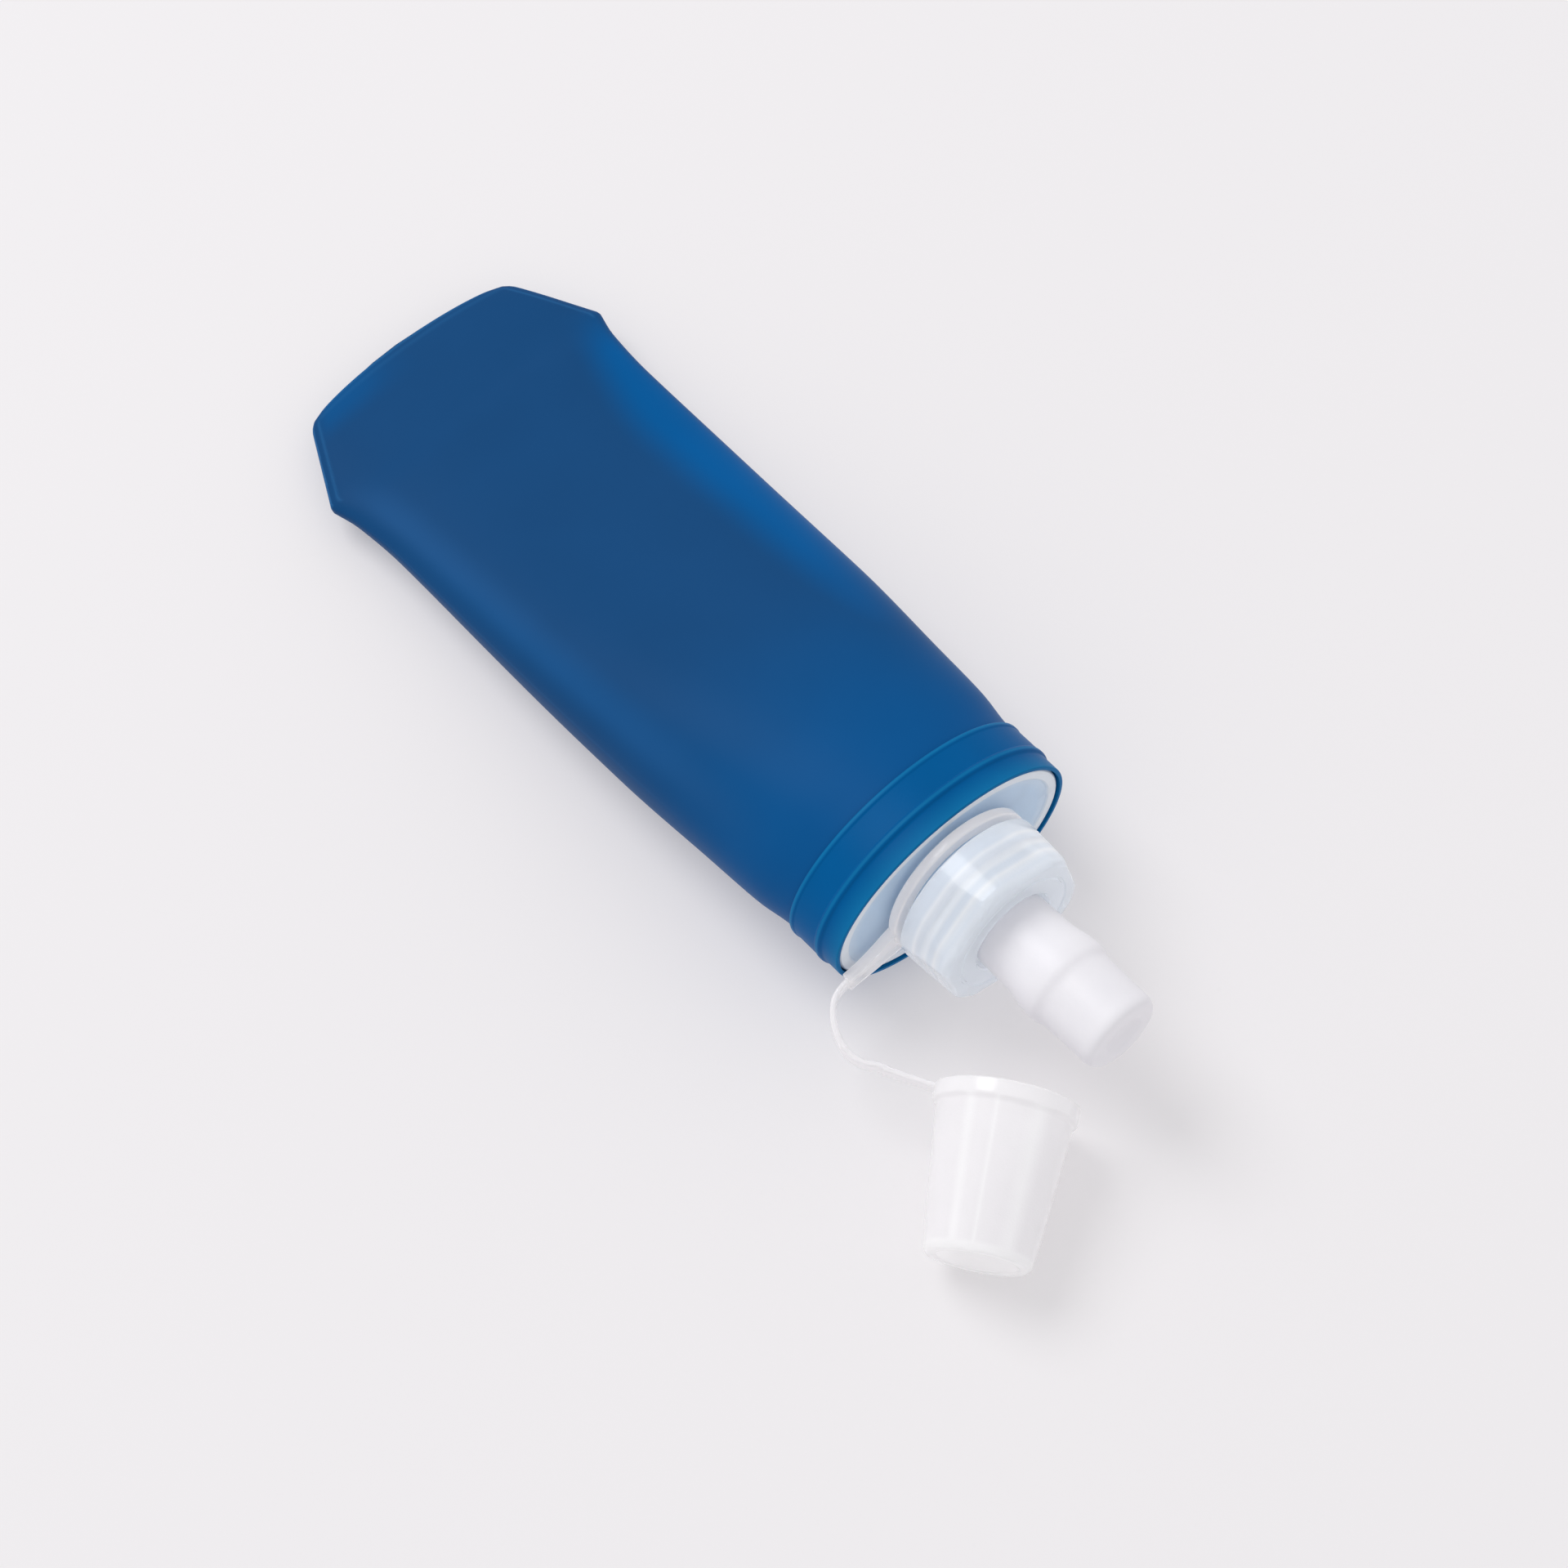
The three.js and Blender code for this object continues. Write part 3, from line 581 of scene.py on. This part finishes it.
def windThread(name, body, material, sizes):
    carrier = bpy.data.objects.new(name + "Carrier", bpy.data.meshes.new(name + "Carrier"))
    bpy.context.scene.collection.objects.link(carrier)
    maker = carrier.modifiers.new("ridge", "NODES")
    maker.node_group = ridgeTree
    lean = neckAxis.to_track_quat("Z", "Y").to_euler()
    values = {
        "Radius": sizes["radius"] * mm, "Pitch": sizes["pitch"] * mm, "Turns": sizes["turns"],
        "Ridge Width": sizes["width"] * mm, "Ridge Height": sizes["height"] * mm,
        "Start": onNeck(sizes["start"], 0, 0), "Lean": Vector(lean), "Finish": material}
    for socket in ridgeTree.interface.items_tree:
        if socket.in_out == "INPUT":
            maker[socket.identifier] = values[socket.name]
    bpy.context.view_layer.update()
    shaped = carrier.evaluated_get(bpy.context.evaluated_depsgraph_get())
    mesh = bpy.data.meshes.new_from_object(shaped)
    bpy.data.objects.remove(carrier)
    mesh.shade_smooth()
    mesh.set_sharp_from_angle(angle=math.radians(40))
    ridge = bpy.data.objects.new(name, mesh)
    bpy.context.scene.collection.objects.link(ridge)
    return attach(ridge, body)


fitment = {"plateThickness": 2.4, "border": 2.6, "borderRise": 0.35, "skirt": 12.5, "skirtWall": 1.8,
           "neckRadius": 12.6, "bore": 10.5, "neckLength": 12.2, "around": 160}


def neckFitment():
    count = fitment["around"]
    border, rise = fitment["border"], fitment["borderRise"]
    points, edge = [], []

    def row(x, grow=None, radius=None, blendTo=0.0, mark=0.0):
        for i in range(count):
            angle = 2 * math.pi * i / count
            c, s = math.cos(angle), math.sin(angle)
            if radius is None:
                y, z = (plate["halfWidth"] + grow) * c, (plate["halfHeight"] + grow) * s
            else:
                y, z = radius * c, radius * s
            if blendTo:
                y = share(y, (plate["halfWidth"] - border) * c, blendTo)
                z = share(z, (plate["halfHeight"] - border) * s, blendTo)
            points.append(onNeck(x, y, z))
            edge.append(mark)

    row(-fitment["skirt"], grow=0)
    row(-0.6, grow=0, mark=0.4)
    row(-0.25, grow=-0.1, mark=0.9)
    row(0, grow=-0.4, mark=1)
    row(0, grow=-border + 0.5, mark=0.9)
    row(-rise, grow=-border, mark=0.3)
    for t in (0.8, 0.55, 0.3, 0.1):
        row(-rise, radius=fitment["neckRadius"], blendTo=t)
    row(-rise, radius=fitment["neckRadius"] + 0.6)
    row(-rise + 0.25, radius=fitment["neckRadius"] + 0.15)
    row(0.4, radius=fitment["neckRadius"])
    row(fitment["neckLength"] - 0.5, radius=fitment["neckRadius"])
    row(fitment["neckLength"] - 0.15, radius=fitment["neckRadius"] - 0.15)
    row(fitment["neckLength"], radius=fitment["neckRadius"] - 0.5)
    row(fitment["neckLength"], radius=fitment["bore"] + 0.3)
    row(fitment["neckLength"] - 0.3, radius=fitment["bore"])
    row(-fitment["plateThickness"], radius=fitment["bore"])
    for t in (0.3, 0.7, 1):
        row(-fitment["plateThickness"], radius=fitment["bore"], blendTo=t)
    row(-fitment["plateThickness"] - 0.6, grow=-fitment["skirtWall"])
    row(-fitment["skirt"], grow=-fitment["skirtWall"])
    faces = ringFaces(len(points) // count, count, closed=True)
    moulding = makePiece("neckMoulding", points, faces, plateResin, {"border": edge})
    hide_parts("neck_fitment")
    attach(moulding, "base")
    windThread("neckThread", "base", plateResin, {
        "radius": 13.1, "pitch": 2.7, "turns": 1.75, "width": 1.5, "height": 1.0, "start": 5.4})


neckFitment()
coatNode("seal_washer", sealRubber)
print("neck fitment moulded")


cap = {"radius": 16.5, "start": 4.6, "front": 17.1, "inside": 14.4, "roof": 14.0, "pitch": 2.7,
       "flats": 6, "flatAngle": 72, "flatStart": 16.35, "flatEnd": 15.2, "cornerRound": 0.3,
       "recessRadius": 9.0, "recessDepth": 1.5, "stemRadius": 5.0, "stemBore": 2.5, "stemTip": 30.0,
       "threadCrest": 8.2, "threadShown": (6.9, 15), "around": 192}


def capReach(radius, along, angle):  # the round wall, cut by six flats that lie deeper towards the front
    if radius < cap["inside"] + 0.2:
        return radius
    t = (along - cap["start"]) / (cap["front"] - cap["start"])
    flat = share(cap["flatStart"], cap["flatEnd"], t) - (cap["radius"] - radius) * 0.6
    turn = (angle - math.radians(cap["flatAngle"])) % (2 * math.pi / cap["flats"])
    turn = min(turn, 2 * math.pi / cap["flats"] - turn)
    cut = flat / math.cos(turn)
    k = cap["cornerRound"]
    blendShare = min(max(0.5 + 0.5 * (radius - cut) / k, 0), 1)
    return share(radius, cut, blendShare) - k * blendShare * (1 - blendShare) * 0.5


def screwCap():
    front, r, recess = cap["front"], cap["radius"], cap["recessRadius"]
    stem, tip = cap["stemRadius"], cap["stemTip"]
    floor = front - cap["recessDepth"]
    side = [(r, share(cap["start"] + 0.6, front - 1.4, i / 14)) for i in range(15)]
    profile = softCorners([
        (cap["inside"], cap["start"], 0.3), (r - 0.3, cap["start"]), (r, cap["start"] + 0.3), *side,
        (r - 0.12, front - 0.9), (r - 0.4, front - 0.45), (r - 0.85, front - 0.12), (r - 1.4, front),
        (13.2, front), (13.0, front - 0.25), (12.6, front - 0.25), (12.4, front),
        (recess + 0.3, front), (recess, front - 0.3), (recess, floor, 0.4), (stem, floor, 0.4),
        (stem, tip - 4), (stem + 0.25, tip - 3.5), (stem - 0.6, tip, 0.3), (cap["stemBore"], tip, 0.3),
        (cap["stemBore"], cap["roof"]), (cap["inside"], cap["roof"], 0.4)])
    count = cap["around"]
    points = spinPoints(profile, onNeck, count, capReach)
    thread = []
    low, high = cap["threadShown"]
    for radius, along in profile:  # pale bands where the inner thread shows through the wall
        wave = 0.5 + 0.5 * math.cos(2 * math.pi * (along - cap["threadCrest"]) / cap["pitch"])
        shown = wave ** 2 if radius > cap["inside"] + 0.5 and low < along < high else 0.2
        thread += [shown * 0.9] * count
    faces = ringFaces(len(profile), count, closed=True)
    shell = makePiece("capShell", points, faces, clearResin, {"thread": thread}, crease=28)
    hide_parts("screw_cap")
    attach(shell, "cap")
    windThread("capThread", "cap", whiteSilicone, {
        "radius": 13.9, "pitch": cap["pitch"], "turns": 1.5, "width": 1.5, "height": 1.1, "start": 6.75})


screwCap()
print("screw cap turned")


valve = {"start": 15.9, "length": 30.1, "base": 8.0, "bulge": 9.15, "barrel": 8.35, "bore": 5.55,
         "tipRound": 2.3, "dimple": (3.3, 1.9), "around": 128}


def biteValve():
    def along(t):
        return valve["start"] + t * valve["length"]

    tip = along(1)
    barrel, bulge = valve["barrel"], valve["bulge"]
    profile = softCorners([
        (valve["bore"], along(0), 0.3), (valve["base"], along(0), 0.5), (valve["base"] + 0.25, along(0.3), 4),
        (bulge, along(0.44), 1.6), (bulge + 0.02, along(0.525), 0.8), (barrel + 0.12, along(0.575), 0.9),
        (barrel, along(0.7), 2), (barrel - 0.1, tip, valve["tipRound"]),
        (4.6, tip + 0.05, 0.8), (3.9, tip - 0.55, 0.6), (2.6, tip - 0.75, 0.5), (0.0, tip - 0.8),
        (0.0, tip - 3.1), (valve["bore"], tip - 3.1, 0.8)], steps=6)

    def oval(radius, x, angle):  # the hollow round the slit is an oval
        if radius > 4.8 or x < tip - 1.2:
            return radius
        a, b = valve["dimple"]
        stretch = 1 / math.sqrt((math.cos(angle) / a) ** 2 + (math.sin(angle) / b) ** 2) / a
        return radius * share(stretch, 1, easeStep(3.2, 4.8, radius))

    points = spinPoints(profile, onNeck, valve["around"], oval)
    faces = ringFaces(len(profile), valve["around"], closed=True)
    teat = makePiece("biteValveTeat", points, faces, whiteSilicone, crease=60)
    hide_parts("bite_valve")
    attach(teat, "valve")


biteValve()
print("bite valve seated")


tether = {"ringStart": 1.0, "ringThick": 2.1, "ringInner": 13.1, "ringOuter": 16.2, "ringAround": 128,
          "armReach": 27.4, "armDrop": 5.0, "armRoot": 6.4, "armTip": 4.0, "armRib": 1.0, "armWeb": 0.42,
          "strapThick": 1.1, "strapTall": 3.2, "strapRound": 0.45, "hingeGap": 0.6}
# The cup's streaks are painted highlights, given as angle and width in degrees.
cover = {"length": 30.9, "rim": 13.4, "mouth": 12.7, "end": 10.1, "wall": 1.1, "band": 3.0, "edge": 1.6,
         "place": (37.4, -19.4), "turn": -52.8, "around": 160,
         "streakHighlights": ((120, 7), (97, 3), (60, 13), (205, 6))}
coverTilt = math.atan((cover["rim"] - cover["end"]) / (cover["length"] - cover["edge"] - cover["band"]))
coverRise = cover["rim"] * math.cos(coverTilt) + cover["band"] * math.sin(coverTilt)
strapEndWorld = Vector(joints["cover_bend"]["pos_m"])
armEndWorld = Vector(joints["tether_bend"]["pos_m"])
halfGap = tether["hingeGap"] / 2
barSection = [(a * mm, b * mm) for a, b in
              roundedBar(tether["strapThick"], tether["strapTall"], tether["strapRound"])]


def tetherRing():
    thick, start = tether["ringThick"], tether["ringStart"]
    profile = softCorners([
        (tether["ringInner"], start, 0.3), (tether["ringOuter"], start, 0.5),
        (tether["ringOuter"], start + thick, 0.5), (tether["ringInner"], start + thick, 0.3)])
    count = tether["ringAround"]
    points = spinPoints(profile, onNeck, count)
    hoop = makePiece("tetherHoop", points, ringFaces(len(profile), count, closed=True), tetherResin)
    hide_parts("tether_ring")
    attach(hoop, "ring")


def tetherArm():  # a thin web with a rib along each edge
    middle = tether["ringStart"] + tether["ringThick"] / 2
    root, drop = tether["ringOuter"] - 1.2, tether["armDrop"]
    halfRoot, halfTip = tether["armRoot"] / 2, tether["armTip"] / 2
    rib, web = tether["armRib"], tether["armWeb"]
    rows = 24
    points = []
    for row in range(rows + 1):
        t = row / rows
        y = -share(root, tether["armReach"], t)
        top = share(halfRoot - drop / 2, halfTip - drop, easeStep(0, 1, t ** 0.7))
        bottom = share(-halfRoot - drop * 0.7, -halfTip - drop, easeStep(0, 1, t ** 0.8))
        lay = [(top, 0.0), (top - 0.15, rib), (top - 0.8, rib), (top - 1.1, web),
               (bottom + 1.1, web), (bottom + 0.8, rib), (bottom + 0.15, rib), (bottom, 0.0)]
        for z, x in lay:
            points.append(onNeck(middle + x, y, z))
        for z, x in reversed(lay[1:-1]):
            points.append(onNeck(middle - x, y, z))
    count = len(points) // (rows + 1)
    arm = makePiece("tetherArm", points, closedEnds(rows + 1, count), tetherResin)
    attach(arm, "ring")


def tetherStrap():
    start = armEndWorld + Vector((0.2, -halfGap, 0)) * mm
    finishAt = strapEndWorld - Vector((halfGap, 0, 0)) * mm
    fall = armEndWorld.y + halfGap * mm - strapEndWorld.y
    middle = []
    for t, out in [(0.06, 0.62), (0.22, 1.08), (0.42, 1.36), (0.62, 1.46), (0.82, 1.3)]:
        point = start.lerp(finishAt, t)
        point.y = start.y - out * fall
        middle.append(point)
    intoArm = start + Vector((0, 1.6, 0)) * mm
    intoCover = strapEndWorld + Vector((halfGap + 0.9, 0.55, 0)) * mm
    path = smoothPath([intoArm, start, *middle, finishAt, intoCover], 120)
    half = len(path) // 2
    near = sweepBar("strapNear", path[:half + 1], barSection, tetherResin)
    far = sweepBar("strapFar", path[half:], barSection, tetherResin)
    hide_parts("tether_strap")
    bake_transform(near)
    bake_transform(far)


coverTurn = math.radians(cover["turn"])
coverAway = Vector((math.cos(coverTurn) * math.cos(coverTilt), math.sin(coverTurn) * math.cos(coverTilt),
                    -math.sin(coverTilt)))
coverAcross = Vector((-math.sin(coverTurn), math.cos(coverTurn), 0))
coverRising = coverAway.cross(coverAcross)
coverMouth = Vector((plateCentre.x, plateCentre.y, 0)) + Vector((*cover["place"], coverRise)) * mm


def onCover(x, y, z):
    return coverMouth + (coverAway * x + coverAcross * y + coverRising * z) * mm


def dustCover():
    wall, length, edge = cover["wall"], cover["length"], cover["edge"]
    mouth, rim, rimEnd, end = cover["mouth"], cover["rim"], cover["band"], cover["end"] - 0.2
    profile = softCorners([
        (mouth - wall, 0, 0.25), (rim, 0, 0.4), (rim, rimEnd, 0.4), (mouth - 0.15, rimEnd + 0.8, 0.4),
        (mouth - 0.9, 12), (mouth - 1.8, 22), (end, length, edge * 1.3), (end - 2.0, length, 0.4),
        (end - 2.4, length - 0.3, 0.3), (0, length - 0.3), (0, length - wall * 1.5),
        (end - wall, length - wall * 1.5, 1.2), (mouth - wall - 1.7, 20)], steps=5)
    count = cover["around"]
    points = spinPoints(profile, onCover, count)
    # painted highlights: streaks along the wall; the rim band is made a little paler and the closed end more
    streakHighlight = []
    for _, along in profile:
        for i in range(count):
            angle = 360 * i / count
            lines = [1 - abs((angle - at + 180) % 360 - 180) / wide for at, wide in cover["streakHighlights"]]
            strength = 0.5 if along > length - 3 else 0.2
            if rimEnd < along < length - 2:
                strength = 0.6 * max(0, *lines)
            streakHighlight.append(strength)
    faces = ringFaces(len(profile), count, closed=True)
    cup = makePiece("coverCup", points, faces, tetherResin, {"streakHighlight": streakHighlight}, crease=50)
    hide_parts("dust_cover")
    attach(cup, "cover")


def coverArm():  # between the cup's wall and the strap
    farEnd = strapEndWorld + Vector((halfGap, 0, 0)) * mm
    wallPoint = onCover(0.9, -cover["mouth"], 0)
    wallPoint.z = farEnd.z
    path = [farEnd.lerp(wallPoint, i / 12) for i in range(13)]
    arm = sweepBar("coverArm", path, barSection, tetherResin)
    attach(arm, "cover")


tetherRing()
tetherArm()
tetherStrap()
dustCover()
coverArm()
print("tether and dust cover hung")


stage = {"key": (-1.5, -0.35, 2.1), "keySize": 1.5, "keyPower": 25, "fill": 0.7,
         "floor": "c9c7c8", "floorGlow": 0.31}


def tableTop():
    mesh = bpy.data.meshes.new("tableTop")
    mesh.from_pydata([(-2, -2, 0), (2, -2, 0), (2, 2, 0), (-2, 2, 0)], [], [(0, 1, 2, 3)])
    pale = bpy.data.materials.new("paleTable")
    pale.use_nodes = True
    shader = pale.node_tree.nodes["Principled BSDF"]
    shader.inputs["Base Color"].default_value = hexColor(stage["floor"])
    shader.inputs["Roughness"].default_value = 0.7
    shader.inputs["Specular IOR Level"].default_value = 0.1
    shader.inputs["Emission Color"].default_value = hexColor("fffcfe")
    shader.inputs["Emission Strength"].default_value = stage["floorGlow"]  # keeps shadows light
    mesh.materials.append(pale)
    table = bpy.data.objects.new("tableTop", mesh)
    bpy.context.scene.collection.objects.link(table)


def keyPanel():
    lamp = bpy.data.lights.new("keyPanel", "AREA")
    lamp.shape, lamp.size, lamp.energy = "DISK", stage["keySize"], stage["keyPower"]
    holder = bpy.data.objects.new("keyPanel", lamp)
    holder.location = stage["key"]
    holder.rotation_euler = (-Vector(stage["key"])).to_track_quat("-Z", "Y").to_euler()
    bpy.context.scene.collection.objects.link(holder)


tableTop()
keyPanel()
world = bpy.data.worlds.new("paleStudio")
world.use_nodes = True
world.node_tree.nodes["Background"].inputs["Color"].default_value = hexColor("fbfbfd")
world.node_tree.nodes["Background"].inputs["Strength"].default_value = stage["fill"]
bpy.context.scene.world = world
bpy.context.scene.view_settings.view_transform = "Standard"

lens = bpy.data.cameras.new("camera")
lens.lens, lens.sensor_width = 84.68, 36
lens.clip_start, lens.clip_end = 0.01, 10
camera = bpy.data.objects.new("camera", lens)
back = Vector((0.325, -0.285, 0.902)).normalized()
right = Vector((0, 0, 1)).cross(back).normalized()
up = back.cross(right)
camera.matrix_world = Matrix.Translation(plateCentre + Vector((0.1890, -0.2062, 0.6174))) @ Matrix(
    (right, up, back)).transposed().to_4x4()
bpy.context.scene.collection.objects.link(camera)
bpy.context.scene.camera = camera
print("studio set")
